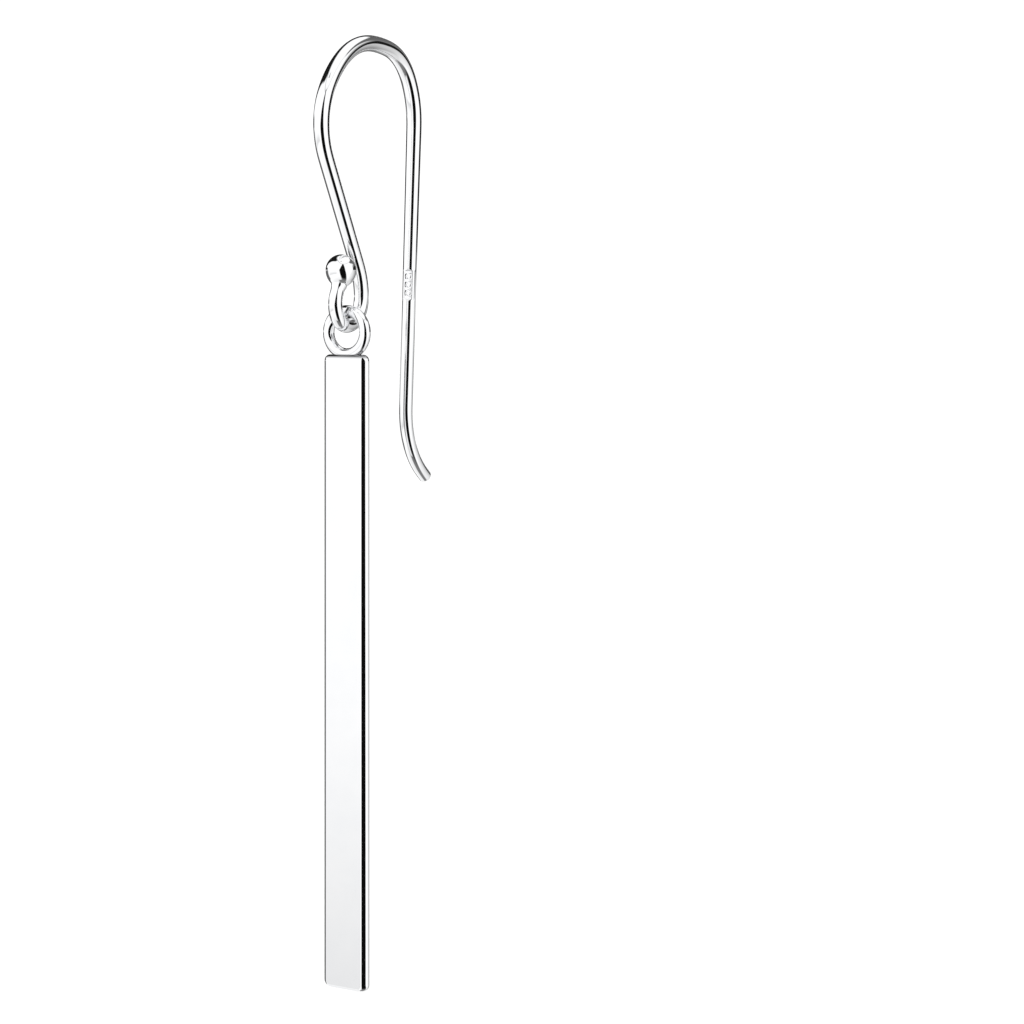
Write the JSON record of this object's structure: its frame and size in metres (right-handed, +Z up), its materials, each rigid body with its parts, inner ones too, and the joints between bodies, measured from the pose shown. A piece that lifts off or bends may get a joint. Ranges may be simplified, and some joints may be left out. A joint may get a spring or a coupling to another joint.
{
  "type": "bar drop earring",
  "caption": "Bar drop earring: a round wire ear hook with a ball end and open loop, from which a slim flat bar hangs upright by a soldered ring.",
  "frame": {"origin": "inside top of the hook's arch, where the wire rests in the ear lobe", "axes": "+Z up along the hanging bar, -Y towards the front of the earring, X across the face of the bar"},
  "size_m": [0.003, 0.0112, 0.051],
  "materials": {
    "polished_silver": "mirror polished sterling silver"
  },
  "bodies": {
    "hook": {"ear_hook": "polished_silver"},
    "drop": {"bar_drop": "polished_silver"}
  },
  "joints": [
    {"name": "drop_swing", "type": "hinge", "parent": "hook", "child": "drop", "pos_m": [0, -0.00249, -0.01477], "axis": [0, 1, 0], "range_deg": [-90, 90]}
  ]
}
